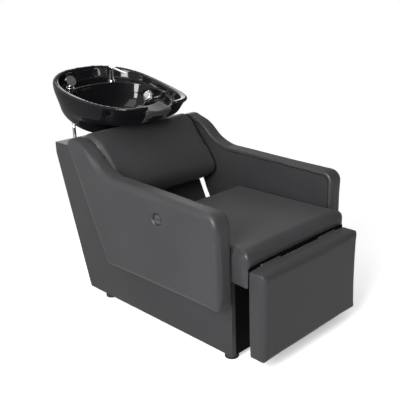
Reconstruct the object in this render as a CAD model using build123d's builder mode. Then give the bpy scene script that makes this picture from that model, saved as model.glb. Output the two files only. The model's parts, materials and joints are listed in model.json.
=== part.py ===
from build123d import *
import math
import os

os.makedirs("parts", exist_ok=True)

# Frame: millimetres, X across the unit, Y from the leg rest to the basin, Z up from the floor.

# Overall sizes
width_over_arms = 700
arm_thickness = 66.5
leg_front_y = -660
leg_thickness = 64.5
hinge_half_gap = 2.5
leg_rear_y = leg_front_y + leg_thickness
hinge_y = leg_rear_y + hinge_half_gap
board = 18
thin_board = 12
arm_outer_x = width_over_arms / 2
arm_inner_x = arm_outer_x - arm_thickness

# Feet and base cabinet
foot_radius = 26
foot_height = 18.6
foot_front_y = -484
foot_rear_y = 222
arm_side_gap = 10.5
base_half_width = arm_inner_x - arm_side_gap
foot_inset = 28
foot_x = base_half_width - foot_inset
base_front_y = -514
base_rear_y = 335
base_top_z = 309
shell_height = 336
shell_top_z = base_top_z + shell_height
shell_rear_y = 505
shell_kink_drop = 46
shell_kink_z = shell_top_z - shell_kink_drop
wall_foot_y = 142
wall_run = 155.4
side_inner_x = base_half_width - board
rail_height = 60
rail_width = 30

# Arms
arm_front_y = -525
arm_overlap = 87
arm_bottom_z = base_top_z - arm_overlap
armrest_height = 255
armrest_rise = 18
armrest_front_z = base_top_z + armrest_height
armrest_rear_z = armrest_front_z + armrest_rise
armrest_end_y = 5
wing_rise = 54
wing_top_z = shell_top_z + wing_rise
wing_peak_y = 272
wing_shoulder_radius = 22
arm_rear_lean = 24.8
arm_corner_radius = 44
arm_low_radius = 26
arm_edge_radius = 15
arm_inner_edge_radius = 8
arm_crown = 4
arm_board_inset = 16
wing_curve_shares = [(0.14, 0.06), (0.29, 0.18), (0.43, 0.38), (0.57, 0.64), (0.72, 0.83), (0.88, 0.955)]
batten_height = 60
batten_front_y = -470
batten_rear_y = 40
batten_drop = 43
batten_mid_z = base_top_z - batten_drop
bolt_clearance = 0.25

# Seat
seat_side_gap = 6.5
seat_half_width = arm_inner_x - seat_side_gap
seat_frame_inset = 4
seat_frame_half_width = base_half_width - seat_frame_inset
seat_rail_front_y = hinge_y + hinge_half_gap
seat_rear_y = -57
seat_frame_height = 69
seat_thickness = 60
seat_nose = 1
seat_board_top_z = base_top_z + seat_frame_height
seat_top_z = seat_board_top_z + seat_thickness
seat_front_y = hinge_y - seat_nose
seat_front_radius = 26
seat_edge_radius = 14
seat_crown = 4
seat_notch_half_width = 22
seat_notch_height = 26

# Back rest, in the plane of the slanted wall
back_side_gap = 7.5
back_half_width = arm_inner_x - back_side_gap
back_board_thickness = 15
back_low = -21
back_length = 296
back_depth = 126
back_edge_radius = 22
back_board_inset = 10
back_corner_shares = [(0.0, 1.02, 0.34), (0.31, 1.02, 2.3), (0.86, 0.645, 0.8), (1.0, 0.365, 0.24)]

# Leg rest and its hinges
leg_side_inset = 5
leg_half_width = base_half_width - leg_side_inset
leg_low_z = 50.8
hinge_drop = 6
hinge_z = seat_board_top_z - hinge_drop
leg_top_gap = 4
leg_high_z = hinge_z - leg_top_gap
leg_board_inset = 7
leg_edge_radius = 16
leg_crown = 3
hinge_inner_x = 112
hinge_length = 100
hinge_barrel_radius = 4.5
hinge_pin_radius = 2.5
hinge_leaf = 2
hinge_leaf_height = 32
hinge_knuckles = 5
knuckle_gap = 0.4
hinge_relief = 0.8
running_gap = 0.05

# Lift actuator
lift_rear_y = -241
lift_rear_z = 200
lift_pin_drop = 75
lift_pin_reach = 54
lift_pin_radius = 5
lift_eye_radius = 11
lift_eye_half = 8
lift_rod_radius = 7
lift_tube_radius = 18
lift_tube_bore = 9
lift_gearbox_half = 24
lift_gearbox_start = 20
lift_gearbox_length = 62
lift_gearbox_drop = 62
lift_motor_radius = 21
lift_motor_length = 120
lift_tube_end = 252
lift_rod_start = 112
lever_gap = 1.5
lever_plate = 4
lever_rim = 8
slot_low_r = 68.5
slot_high_r = 101
slot_margin = 5

# Switch in the near arm
switch_y = -237.6
switch_rise = 51
switch_z = seat_top_z + switch_rise
switch_radius = 27
switch_inner_radius = 18.5
switch_ring_depth = 5
switch_cup_radius = 21
switch_cup_depth = 24
switch_cup_wall = 2
button_gap = 0.5
button_radius = switch_inner_radius - button_gap
button_split = 1.6
button_depth = 10

# Basin, in the tilted plane of its rim
rim_tilt = 11.9
rim_setback = 126.5
rim_height = 199
rim_y = shell_rear_y - rim_setback
rim_z = shell_top_z + rim_height
rim_sag_radius = 1867
rim_top = 30
basin_half_width = 246
basin_front = -275
basin_floor = -180
outline_shares = [(0.0, 0.50), (0.43, 0.476), (0.75, 0.395), (0.94, 0.27), (1.0, 0.115), (0.985, -0.06),
                  (0.92, -0.225), (0.80, -0.37), (0.61, -0.467), (0.36, -0.5)]
hull_sections = [
    (30, 1.0, -275, 291.6),
    (0, 0.99, -263, 282.6),
    (-42, 0.96, -236, 264),
    (-78, 0.92, -200, 236),
    (-96, 0.89, -142, 220),
    (-116, 0.85, -94, 202),
    (-140, 0.79, -80, 172),
    (-165, 0.66, -74, 125),
    (-180, 0.48, -66, 78),
]
deck_level = -30
notch_half_width = 74
notch_floor = -25
waste_v = -5
waste_radius = 32
waste_hole_radius = 24
tail_radius = 20
tail_length = 46
drain_hose_radius = 25
axle_setback = 35
axle_height = 17
axle_y = shell_rear_y - axle_setback
axle_z = shell_top_z + axle_height
axle_radius = 6
lug_half_width = 9
lug_thickness = 5
lug_x = 52
bracket_plate = 4
bracket_half_width = 80
cheek_gap = 0.4
pedestal_plate = 4
pedestal_depth = 46
nut_radius = 11
nut_length = 9
buffer_setback = 26.5
buffer_y = rim_y - buffer_setback
buffer_radius = 13
buffer_gap = 0.6

# Neck rest
neck_rest_half_width = 70
neck_outline = [(-268, -10), (-188, -6), (-184, -42), (-206, -66), (-227, -66)]
neck_round = 5

# Fittings on the rear deck
mixer_x = 98
mixer_v = 190
mixer_radius = 14.5
mixer_height = 66
mixer_foot_radius = 20
mixer_foot = 4
mixer_gap = 1.0
lever_radius = 17
lever_cap = 12
lever_arm = 95
shower_x = -152
shower_v = 158
holder_radius = 18
holder_height = 13
handle_radius = 12
head_radius = 23
head_depth = 20
head_tilt = 52
face_radius = 19
face_depth = 3
supply_radius = 6
supply_x = 98
supply_spacing = 26
supply_floor_y = 474
hose_x = -190
hose_setback = 27
hose_y = shell_rear_y - hose_setback
hose_radius = 7.25
hose_wall = 1.5
grommet_wall = 4
grommet_height = 5
overflow_v = 40
overflow_w = -72
overflow_radius = 26
overflow_depth = 7

# Fits
board_fit = 0.3
switch_fit = 0.2
wall_mark_z = 437
lever_root_drop = 11
lever_foot = 12
lift_rail_gap = 16
switch_ring_round = 2.5
switch_ring_bevel = 1
button_recess = 1.5
button_round = 1.2
inlet_x = 150
inlet_z = 90
inlet_width = 50
inlet_height = 34
inlet_round = 3
inlet_flange = 2.5
inlet_flange_side = 7
inlet_depth = 26
inlet_socket_width = 30
inlet_socket_height = 16
inlet_socket_depth = 16
inlet_pin_width = 2
inlet_pin_height = 5
inlet_pin_length = 13
notch_reach = 60
notch_round = 22
ear_round = 6
rim_round = 5
match_tolerance = 0.2
neck_dip_radius = 190
neck_dip = 14
mixer_pocket_radius = 26
holder_pocket_radius = 26
deck_skin = 14
shank_radius = 11
holder_tube_radius = 16
overflow_x = 192
overflow_lean = 26
overflow_seat = 6
well_floor = -163
waste_throat_radius = 20
waste_lip = 2
waste_nut_height = 8
strainer_depth = 16
strainer_wall = 1.6
strainer_rim_radius = 26
strainer_radius = 19.6
strainer_knob_radius = 3
strainer_ring_radius = 11
strainer_holes = 8
strainer_hole_radius = 2.6
tail_bore = 16
tail_collar = 6
drain_hose_low_z = 472
drain_ribs = 14
drain_rib_shares = [(0.0, 0), (0.3, 1), (0.5, 1), (0.8, 0)]
drain_hose_drop = 4.6
drain_rib_radius = 21
drain_bore_radius = 18
bracket_v = 50
bracket_depth = 32
lug_rise = 14
drain_outlet_z = 432
outlet_reach = 18
outlet_bend = 24
outlet_radius = 20
outlet_wall = 2.5
mixer_thread = 16
mixer_nut_radius = 18
mixer_nut_height = 7
lever_round = 2.5
lever_arm_half = 6
lever_arm_thickness = 7
holder_thread = 16
handle_gap = 0.4
handle_rise = 12
handle_flare = 8
holder_step = 3
head_round = 5
head_lift_share = 0.55
face_rings = [(5, 6), (10, 12), (15, 18)]
nozzle_radius = 0.9
nozzle_depth = 1
hose_lead = 24
hose_bend_rise = 61
hose_end_drop = 43
hose_bend_z = shell_top_z + hose_bend_rise
hose_end_z = shell_top_z - hose_end_drop
hose_bends = [24, 40]
hose_channel = 4
supply_root = 8
supply_lead = 66
supply_low_y = 572
supply_low_z = 690
supply_bend_z = 656
supply_end_z = 602
supply_bends = [40, 22, 24]
overflow_rim = 1.5
overflow_taper = 30
overflow_round = 3
drain_hole_shift = 8
drain_hole_radius = 42
hose_hole_radius = 15
supply_hole_length = 70
supply_hole_width = 34
front_notch_half = 30
front_notch_depth = 66
foot_taper = 4
lift_pin_half = 16
deck_sections = [(40, 0.925, -256, 277), (0, 0.905, -246, 268), (-30, 0.87, -225, 258)]
well_sections = [
    (0, 0.87, -205, 176),
    (-30, 0.86, -190, 175),
    (-60, 0.82, -165, 166),
    (-84, 0.78, -110, 154),
    (-112, 0.71, -74, 138),
    (-140, 0.58, -62, 108),
    (-163, 0.36, -50, 50),
]


def at_side(x):
    return Plane.YZ.offset(x)


def side_plane(x, y, z):
    return Plane(origin=(x, y, z), x_dir=(0, 1, 0), z_dir=(1, 0, 0))


def polygon(plane, points):
    with BuildSketch(plane) as section:
        with BuildLine():
            Polyline(*points, close=True)
        make_face()
    return section.sketch.face()


def bar(plane, radius, length, bore=0):
    with BuildPart() as solid:
        with BuildSketch(plane):
            Circle(radius)
            if bore:
                Circle(bore, mode=Mode.SUBTRACT)
        extrude(amount=length)
    return solid


def wall_y(z):
    share = (z - base_top_z) / (shell_top_z - base_top_z)
    return wall_foot_y + wall_run * share


def rear_y(z):
    share = (z - foot_height) / (shell_kink_z - foot_height)
    return base_rear_y + (shell_rear_y - base_rear_y) * share


def base_side(x):
    top_z = shell_top_z - board
    outline = [
        (base_front_y, foot_height),
        (base_front_y, base_top_z),
        (wall_foot_y, base_top_z),
        (wall_y(top_z), top_z),
        (shell_rear_y, top_z),
        (shell_rear_y, shell_kink_z),
        (base_rear_y, foot_height),
    ]
    with BuildPart() as side:
        with BuildSketch(at_side(x)):
            with BuildLine():
                Polyline(*outline, close=True)
            make_face()
        extrude(amount=board)
    return side


def slanted_panel(points, half_width):
    with BuildPart() as panel:
        extrude(polygon(at_side(-half_width), points), amount=2 * half_width)
    return panel


def block(x0, x1, y0, y1, z0, z1):
    with BuildPart() as solid:
        with BuildSketch(Plane.XY.offset(z0)):
            with Locations(((x0 + x1) / 2, (y0 + y1) / 2)):
                Rectangle(x1 - x0, y1 - y0)
        extrude(amount=z1 - z0)
    return solid


def arm_outline(plane, inset):
    low_z = arm_bottom_z + inset
    front_y = arm_front_y + inset
    lean = math.radians(arm_rear_lean)
    start = (armrest_end_y, armrest_rear_z - inset)
    span_y = wing_peak_y - armrest_end_y
    span_z = wing_top_z - armrest_rear_z
    curve = [(start[0] + span_y * a, start[1] + span_z * b) for a, b in wing_curve_shares]
    peak = (wing_peak_y, wing_top_z - inset)
    high_r = wing_shoulder_radius - inset / 2
    low_r = arm_low_radius
    corner_r = arm_corner_radius - inset
    turn = 90 + arm_rear_lean
    rear_start_z = peak[1] - high_r * (1 + math.sin(lean))
    rear_end_z = low_z + low_r * (1 - math.sin(lean))
    rear_length = (rear_start_z - rear_end_z) / math.cos(lean)
    front_top = (front_y + corner_r, armrest_front_z - inset)
    with BuildSketch(plane) as section:
        with BuildLine():
            front = Line((front_y, low_z + low_r), (front_y, front_top[1] - corner_r))
            corner = TangentArc(front @ 1, front_top, tangent=front % 1)
            rest = Line(corner @ 1, start)
            wing = Spline(rest @ 1, *curve, peak, tangents=(rest % 1, (1, 0)))
            shoulder = JernArc(wing @ 1, (1, 0), high_r, -turn)
            rear = PolarLine(shoulder @ 1, rear_length, -turn)
            low_rear = JernArc(rear @ 1, rear % 1, low_r, arm_rear_lean - 90)
            bottom = Line(low_rear @ 1, (front_y + low_r, low_z))
            TangentArc(bottom @ 1, front @ 0, tangent=(-1, 0))
        make_face()
    return section.sketch.face()


def arm_pad(side):
    middle = (arm_bottom_z + wing_top_z) / 2
    radius = ((wing_top_z - arm_bottom_z) / 2) ** 2 / (2 * arm_crown)
    reach = width_over_arms
    pocket_side = at_side(side * arm_inner_x)
    with BuildPart() as pad:
        extrude(arm_outline(pocket_side, 0), amount=side * arm_thickness)
        with BuildSketch(Plane.XZ.offset(-reach)):
            with Locations((side * (arm_outer_x - radius), middle)):
                Circle(radius)
        extrude(amount=2 * reach, mode=Mode.INTERSECT)
        faces = pad.faces().sort_by(Axis.X)
        outer = faces[-1] if side > 0 else faces[0]
        inner = faces[0] if side > 0 else faces[-1]
        fillet(outer.outer_wire().edges(), arm_edge_radius)
        fillet(inner.outer_wire().edges(), arm_inner_edge_radius)
        extrude(arm_outline(pocket_side, arm_board_inset), amount=side * board, mode=Mode.SUBTRACT)
        if side < 0:
            with BuildSketch(Plane.YZ.offset(-arm_outer_x)):
                with Locations((switch_y, switch_z)):
                    Circle(switch_radius + switch_fit)
            extrude(amount=switch_ring_depth + switch_fit, mode=Mode.SUBTRACT)
            with BuildSketch(Plane.YZ.offset(-arm_outer_x)):
                with Locations((switch_y, switch_z)):
                    Circle(switch_cup_radius + switch_fit)
            extrude(amount=switch_cup_depth + switch_ring_depth + switch_fit, mode=Mode.SUBTRACT)
    return pad


def arm_board(side):
    with BuildPart() as panel:
        face = arm_outline(at_side(side * arm_inner_x), arm_board_inset + board_fit)
        extrude(face, amount=side * (board - board_fit))
        with BuildSketch(at_side(side * base_half_width)):
            with Locations(((batten_front_y + batten_rear_y) / 2, batten_mid_z)):
                Rectangle(batten_rear_y - batten_front_y, batten_height)
        extrude(amount=side * (arm_inner_x - base_half_width))
    return panel


def seat_frame():
    outer_rear_y = seat_rear_y - thin_board
    with BuildPart() as frame:
        with BuildSketch(Plane.XY.offset(base_top_z)):
            with Locations((0, (seat_rail_front_y + outer_rear_y) / 2)):
                Rectangle(2 * seat_frame_half_width, outer_rear_y - seat_rail_front_y)
                inner_width = 2 * (seat_frame_half_width - board)
                Rectangle(inner_width, outer_rear_y - seat_rail_front_y - 2 * board, mode=Mode.SUBTRACT)
        extrude(amount=seat_board_top_z - thin_board - base_top_z)
        with BuildSketch(Plane.XY.offset(base_top_z)):
            with Locations((0, seat_rail_front_y)):
                Rectangle(2 * seat_notch_half_width, 4 * board)
        extrude(amount=seat_notch_height, mode=Mode.SUBTRACT)
        with BuildSketch(Plane.XY.offset(seat_board_top_z - thin_board)):
            with Locations((0, (seat_rail_front_y + outer_rear_y) / 2)):
                Rectangle(2 * seat_frame_half_width, outer_rear_y - seat_rail_front_y)
        extrude(amount=thin_board)
        for x0 in (-hinge_inner_x - hinge_length, hinge_inner_x):
            with BuildSketch(side_plane(x0 - hinge_relief, hinge_y, hinge_z)):
                Circle(hinge_barrel_radius + hinge_relief)
            extrude(amount=hinge_length + 2 * hinge_relief, mode=Mode.SUBTRACT)
    return frame


def seat_cushion():
    depth = seat_rear_y - seat_front_y
    radius = seat_half_width ** 2 / (2 * seat_crown)
    reach = width_over_arms
    pocket_half = seat_frame_half_width + board_fit
    with BuildPart() as cushion:
        with BuildSketch(Plane.XY.offset(base_top_z)):
            with Locations((0, seat_front_y + depth / 2)):
                Rectangle(2 * seat_half_width, depth)
        extrude(amount=seat_top_z - base_top_z)
        with BuildSketch(Plane.XZ.offset(-reach)):
            with Locations((0, seat_top_z - radius)):
                Circle(radius)
        extrude(amount=2 * reach, mode=Mode.INTERSECT)
        top = cushion.faces().sort_by(Axis.Z)[-1]
        front_edge = top.edges().sort_by(Axis.Y)[0]
        rest = top.edges().sort_by(Axis.Y)[1:]
        fillet(front_edge, seat_front_radius)
        top = cushion.faces().filter_by(GeomType.CYLINDER).sort_by(SortBy.AREA)[-1]
        rest = top.edges().sort_by(Axis.Y)[1:]
        fillet(rest, seat_edge_radius)
        with BuildSketch(Plane.XY.offset(base_top_z)):
            with Locations((0, seat_front_y + depth / 2 - thin_board + board_fit)):
                Rectangle(2 * pocket_half, depth)
        extrude(amount=seat_board_top_z - base_top_z, mode=Mode.SUBTRACT)
    return cushion


def back_frame():
    run = math.hypot(wall_run, shell_top_z - base_top_z)
    up = (0, wall_run / run, (shell_top_z - base_top_z) / run)
    origin_z = wall_mark_z
    return Plane(origin=(0, wall_y(origin_z), origin_z), x_dir=up, z_dir=(1, 0, 0))


def back_board():
    low = back_low + back_board_inset
    high = back_low + back_length - back_board_inset
    half = back_half_width - back_board_inset
    with BuildPart() as panel:
        with BuildSketch(back_frame().offset(-half)):
            with Locations(((low + high) / 2, back_board_thickness / 2)):
                Rectangle(high - low, back_board_thickness)
        extrude(amount=2 * half)
    return panel


def back_cushion():
    start = back_board_thickness
    corners = [(back_low + back_length * a, start + back_depth * b) for a, b, r in back_corner_shares]
    radii = [back_depth * r for a, b, r in back_corner_shares]
    high = back_low + back_length
    with BuildPart() as cushion:
        with BuildSketch(back_frame().offset(-back_half_width)):
            with BuildLine():
                front = FilletPolyline((back_low, start), *corners, (high, start), radius=radii)
                Line(front @ 1, front @ 0)
            make_face()
        extrude(amount=2 * back_half_width)
        ends = cushion.faces().sort_by(Axis.X)
        wall = Plane(back_frame().origin, z_dir=back_frame().y_dir).offset(start)
        edges = [e for f in (ends[0], ends[-1]) for e in f.edges()]
        curved = [e for e in edges if wall.to_local_coords(e.center()).Z > board_fit]
        fillet(curved, back_edge_radius)
    return cushion


def leg_cushion():
    height = leg_high_z - leg_low_z
    depth = leg_rear_y - leg_front_y
    radius = leg_half_width ** 2 / (2 * leg_crown)
    reach = width_over_arms
    with BuildPart() as cushion:
        with BuildSketch(Plane.XZ.offset(-leg_rear_y)):
            with Locations((0, leg_low_z + height / 2)):
                Rectangle(2 * leg_half_width, height)
        extrude(amount=depth)
        with BuildSketch(Plane.XY.offset(-reach)):
            with Locations((0, leg_front_y + radius)):
                Circle(radius)
        extrude(amount=2 * reach, mode=Mode.INTERSECT)
        front = cushion.faces().filter_by(GeomType.CYLINDER)[0]
        fillet(front.edges(), leg_edge_radius)
        with BuildSketch(Plane.XZ.offset(-leg_rear_y)):
            with Locations((0, leg_low_z + height / 2)):
                Rectangle(2 * (leg_half_width - leg_board_inset), height - 2 * leg_board_inset)
        extrude(amount=thin_board, mode=Mode.SUBTRACT)
    return cushion


def leg_board():
    height = leg_high_z - leg_low_z
    inset = leg_board_inset + board_fit
    with BuildPart() as panel:
        with BuildSketch(Plane.XZ.offset(-leg_rear_y)):
            with Locations((0, leg_low_z + height / 2)):
                Rectangle(2 * (leg_half_width - inset), height - 2 * inset)
        extrude(amount=thin_board - board_fit)
    return panel


def hinge_segments(first):
    step = hinge_length / hinge_knuckles
    return [n * step for n in range(first, hinge_knuckles, 2)]


def hinge_leaf_part(x0, leaf_y, first, bore):
    step = hinge_length / hinge_knuckles
    with BuildPart() as leaf:
        with BuildSketch(Plane.XY.offset(hinge_z - hinge_leaf_height)):
            with Locations((x0 + hinge_length / 2, leaf_y + hinge_leaf / 2)):
                Rectangle(hinge_length, hinge_leaf)
        extrude(amount=hinge_leaf_height - hinge_barrel_radius - knuckle_gap)
        for start in hinge_segments(first):
            low = x0 + start + knuckle_gap / 2
            width = step - knuckle_gap
            with BuildSketch(at_side(low)):
                with Locations((leaf_y + hinge_leaf / 2, hinge_z - hinge_barrel_radius)):
                    Rectangle(hinge_leaf, 2 * hinge_barrel_radius)
                with Locations((hinge_y, hinge_z)):
                    Circle(hinge_barrel_radius)
                    Circle(bore, mode=Mode.SUBTRACT)
            extrude(amount=width)
    return leaf


def hinge_pin(x0):
    return bar(side_plane(x0, hinge_y, hinge_z), hinge_pin_radius, hinge_length)


def lift_frame(distance):
    tip = (lift_rear_y, lift_rear_z)
    pin = (hinge_y + lift_pin_reach, hinge_z - lift_pin_drop)
    run = math.hypot(pin[0] - tip[0], pin[1] - tip[1])
    direction = ((pin[0] - tip[0]) / run, (pin[1] - tip[1]) / run)
    origin = (0, tip[0] + direction[0] * distance, tip[1] + direction[1] * distance)
    return Plane(origin=origin, x_dir=(1, 0, 0), z_dir=(0, direction[0], direction[1]))


def lift_length():
    pin = (hinge_y + lift_pin_reach, hinge_z - lift_pin_drop)
    return math.hypot(pin[0] - lift_rear_y, pin[1] - lift_rear_z)


def cross_bar(y, z, radius, half_width):
    return bar(side_plane(-half_width, y, z), radius, 2 * half_width)


def lift_body():
    with BuildPart() as body:
        add(cross_bar(lift_rear_y, lift_rear_z, lift_eye_radius, lift_eye_half).part)
        with BuildSketch(lift_frame(0)):
            Rectangle(2 * lift_eye_half, 1.6 * lift_eye_radius)
        extrude(amount=lift_gearbox_start)
        with BuildSketch(lift_frame(lift_gearbox_start)):
            with Locations((0, (lift_gearbox_drop - lift_gearbox_half) / 2)):
                Rectangle(2 * lift_gearbox_half, lift_gearbox_half + lift_gearbox_drop)
        extrude(amount=lift_gearbox_length)
        motor_start = lift_gearbox_start + lift_gearbox_length
        with BuildSketch(lift_frame(motor_start)):
            with Locations((0, lift_gearbox_drop - lift_motor_radius)):
                Circle(lift_motor_radius)
        extrude(amount=lift_motor_length)
        with BuildSketch(lift_frame(motor_start)):
            Circle(lift_tube_radius)
        extrude(amount=lift_tube_end - motor_start)
        with BuildSketch(lift_frame(lift_rod_start - 2 * board_fit)):
            Circle(lift_tube_bore)
        extrude(amount=lift_tube_end - lift_rod_start + 1, mode=Mode.SUBTRACT)
        pin_hole = cross_bar(lift_rear_y, lift_rear_z, lift_pin_radius + running_gap, 2 * lift_eye_half)
        add(pin_hole.part, mode=Mode.SUBTRACT)
    return body


def lift_rod():
    pin_y = hinge_y + lift_pin_reach
    pin_z = hinge_z - lift_pin_drop
    with BuildPart() as rod:
        with BuildSketch(lift_frame(lift_rod_start)):
            Circle(lift_rod_radius)
        extrude(amount=lift_length() - lift_rod_start)
        add(cross_bar(pin_y, pin_z, lift_eye_radius, lift_eye_half).part)
        add(cross_bar(pin_y, pin_z, lift_pin_radius, 2 * lift_eye_half).part, mode=Mode.SUBTRACT)
    return rod


def lever():
    reach = math.hypot(lift_pin_reach, lift_pin_drop)
    along = (lift_pin_reach / reach, -lift_pin_drop / reach)
    middle_r = (slot_low_r + slot_high_r) / 2
    slot_half = (slot_high_r - slot_low_r) / 2 + lift_pin_radius
    angle = math.degrees(math.atan2(along[1], along[0]))
    slot_half_width = lift_pin_radius + slot_margin
    rim_low = slot_low_r - lift_pin_radius - lever_rim
    rim_high = slot_high_r + lift_pin_radius + lever_rim
    side = slot_half_width + lever_rim
    across = (-along[1], along[0])
    edge_y = hinge_y + across[0] * side
    edge_z = hinge_z + across[1] * side
    low_up = (edge_y + along[0] * rim_low, edge_z + along[1] * rim_low)
    high_up = (edge_y + along[0] * rim_high, edge_z + along[1] * rim_high)
    high_low = (high_up[0] - across[0] * 2 * side, high_up[1] - across[1] * 2 * side)
    root_y = leg_rear_y + lever_plate
    root_high_z = base_top_z - lever_root_drop
    root_low_z = high_low[1] - lever_rim
    cheek = [(leg_rear_y, root_high_z), low_up, high_up, high_low, (leg_rear_y, root_low_z)]
    inner = lift_eye_half + lever_gap
    with BuildPart() as bracket:
        for x in (-inner - lever_plate, inner):
            with BuildSketch(at_side(x)):
                with BuildLine():
                    Polyline(*cheek, close=True)
                make_face()
                centre = (hinge_y + along[0] * middle_r, hinge_z + along[1] * middle_r)
                with Locations(Location((centre[0], centre[1], 0), (0, 0, 1), angle)):
                    Rectangle(2 * slot_half, 2 * slot_half_width, mode=Mode.SUBTRACT)
            extrude(amount=lever_plate)
        half = inner + lever_plate + lever_foot
        with BuildSketch(Plane.XZ.offset(-root_y)):
            with Locations((0, (root_high_z + root_low_z) / 2)):
                Rectangle(2 * half, root_high_z - root_low_z)
        extrude(amount=lever_plate)
    return bracket


def lift_rail():
    y0 = lift_rear_y + lift_rail_gap
    low = lift_rear_z - rail_height / 2
    inner = lift_eye_half + lever_gap
    half = inner + lever_plate
    with BuildPart() as rail:
        add(block(-side_inner_x, side_inner_x, y0, y0 + rail_width, low, low + rail_height).part)
        for x in (-half, inner):
            with BuildSketch(at_side(x)):
                with Locations(((y0 + lift_rear_y) / 2, lift_rear_z)):
                    Rectangle(y0 - lift_rear_y, 2 * lift_eye_radius)
                with Locations((lift_rear_y, lift_rear_z)):
                    Circle(lift_eye_radius)
                    Circle(lift_pin_radius, mode=Mode.SUBTRACT)
            extrude(amount=lever_plate)
    return rail


def switch_plane(depth):
    return Plane(origin=(depth - arm_outer_x, switch_y, switch_z), x_dir=(0, 1, 0), z_dir=(1, 0, 0))


def switch_bezel():
    with BuildPart() as ring:
        with BuildSketch(switch_plane(0)):
            Circle(switch_radius)
            Circle(switch_inner_radius, mode=Mode.SUBTRACT)
        extrude(amount=switch_ring_depth)
        face = ring.faces().sort_by(Axis.X)[0]
        fillet(face.outer_wire().edges(), switch_ring_round)
        inner = ring.faces().sort_by(Axis.X)[0].inner_wires()[0].edges()
        chamfer(inner, switch_ring_bevel)
    return ring


def switch_cup():
    start = switch_ring_depth
    with BuildPart() as cup:
        with BuildSketch(switch_plane(start)):
            Circle(switch_cup_radius)
        extrude(amount=switch_cup_depth)
        with BuildSketch(switch_plane(start)):
            Circle(switch_inner_radius)
        extrude(amount=switch_cup_depth - switch_cup_wall, mode=Mode.SUBTRACT)
    return cup


def button(side):
    with BuildPart() as key:
        with BuildSketch(switch_plane(button_recess)):
            Circle(button_radius)
            with Locations((0, -side * (button_radius - button_split / 2))):
                Rectangle(2 * button_radius, 2 * button_radius, mode=Mode.SUBTRACT)
        extrude(amount=button_depth)
        face = key.faces().sort_by(Axis.X)[0]
        fillet(face.edges(), button_round)
    return key


def power_inlet():
    z = inlet_z
    lean = math.degrees(math.atan2(shell_rear_y - base_rear_y, shell_kink_z - foot_height))
    tilt = math.radians(lean)
    plane = Plane(
        origin=(inlet_x, rear_y(z), z),
        x_dir=(1, 0, 0),
        z_dir=(0, math.cos(tilt), -math.sin(tilt)),
    )
    with BuildPart() as inlet:
        with BuildSketch(plane):
            RectangleRounded(inlet_width, inlet_height, inlet_round)
        extrude(amount=inlet_flange)
        with BuildSketch(plane.offset(-inlet_depth)):
            Rectangle(inlet_width - 2 * inlet_flange_side, inlet_height - 2 * inlet_flange_side)
        extrude(amount=inlet_depth)
        with BuildSketch(plane.offset(inlet_flange - inlet_socket_depth)):
            RectangleRounded(inlet_socket_width, inlet_socket_height, inlet_round)
        extrude(amount=inlet_socket_depth, mode=Mode.SUBTRACT)
        with BuildSketch(plane.offset(inlet_flange - inlet_socket_depth)):
            with Locations(*inlet_pins()):
                Rectangle(inlet_pin_width, inlet_pin_height)
        extrude(amount=inlet_pin_length)
    return inlet


def inlet_pins():
    spread = inlet_socket_width / 4
    rise = inlet_socket_height / 7
    return [(-spread, -rise), (0, rise), (spread, -rise)]


def inlet_cut():
    z = inlet_z
    tilt = math.atan2(shell_rear_y - base_rear_y, shell_kink_z - foot_height)
    plane = Plane(
        origin=(inlet_x, rear_y(z), z),
        x_dir=(1, 0, 0),
        z_dir=(0, math.cos(tilt), -math.sin(tilt)),
    )
    with BuildPart() as cut:
        with BuildSketch(plane.offset(-2 * board)):
            width = inlet_width - 2 * inlet_flange_side + 2 * board_fit
            height = inlet_height - 2 * inlet_flange_side + 2 * board_fit
            Rectangle(width, height)
        extrude(amount=3 * board)
    return cut


def rim_frame():
    tilt = math.radians(rim_tilt)
    return Plane(
        origin=(0, rim_y, rim_z),
        x_dir=(1, 0, 0),
        z_dir=(0, -math.sin(tilt), math.cos(tilt)),
    )


def rim_point(x, v, w):
    tilt = math.radians(rim_tilt)
    y = rim_y + v * math.cos(tilt) - w * math.sin(tilt)
    z = rim_z + v * math.sin(tilt) + w * math.cos(tilt)
    return (x, y, z)


def rim_y_at(v, w):
    return rim_point(0, v, w)[1]


def rim_z_at(v, w):
    return rim_point(0, v, w)[2]


def oval(level, half_width, low, high):
    middle = (low + high) / 2
    points = [(half_width * a, middle + (high - low) * b) for a, b in outline_shares]
    mirrored = [(-x, v) for x, v in reversed(points[1:])]
    with BuildSketch(rim_frame().offset(level)) as section:
        with BuildLine():
            Spline(*points, *mirrored, periodic=True)
        make_face()
    return section.sketch.face()


def bowl_body():
    with BuildPart() as hull:
        loft([oval(w, basin_half_width * a, low, high) for w, a, low, high in hull_sections])
        with BuildSketch(Plane.YZ.offset(-width_over_arms)):
            with Locations((rim_y_at(0, rim_sag_radius), rim_z_at(0, rim_sag_radius))):
                Circle(rim_sag_radius)
        extrude(amount=2 * width_over_arms, mode=Mode.SUBTRACT)
    return hull


def upper_cavity():
    with BuildPart() as cavity:
        loft([oval(w, basin_half_width * a, low, high) for w, a, low, high in deck_sections])
    return cavity


def well_cavity():
    with BuildPart() as well:
        loft([oval(w, basin_half_width * a, low, high) for w, a, low, high in well_sections])
    return well


def across_plane(x, v, w):
    tilt = math.radians(rim_tilt)
    return Plane(origin=rim_point(x, v, w), x_dir=(1, 0, 0), z_dir=(0, -math.cos(tilt), -math.sin(tilt)))


def rim_side_plane(x):
    tilt = math.radians(rim_tilt)
    return Plane(origin=rim_point(x, 0, 0), x_dir=(0, math.cos(tilt), math.sin(tilt)), z_dir=(1, 0, 0))


def deck_plane(x, v, w):
    tilt = math.radians(rim_tilt)
    return Plane(origin=rim_point(x, v, w), x_dir=(1, 0, 0), z_dir=(0, -math.sin(tilt), math.cos(tilt)))


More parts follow.
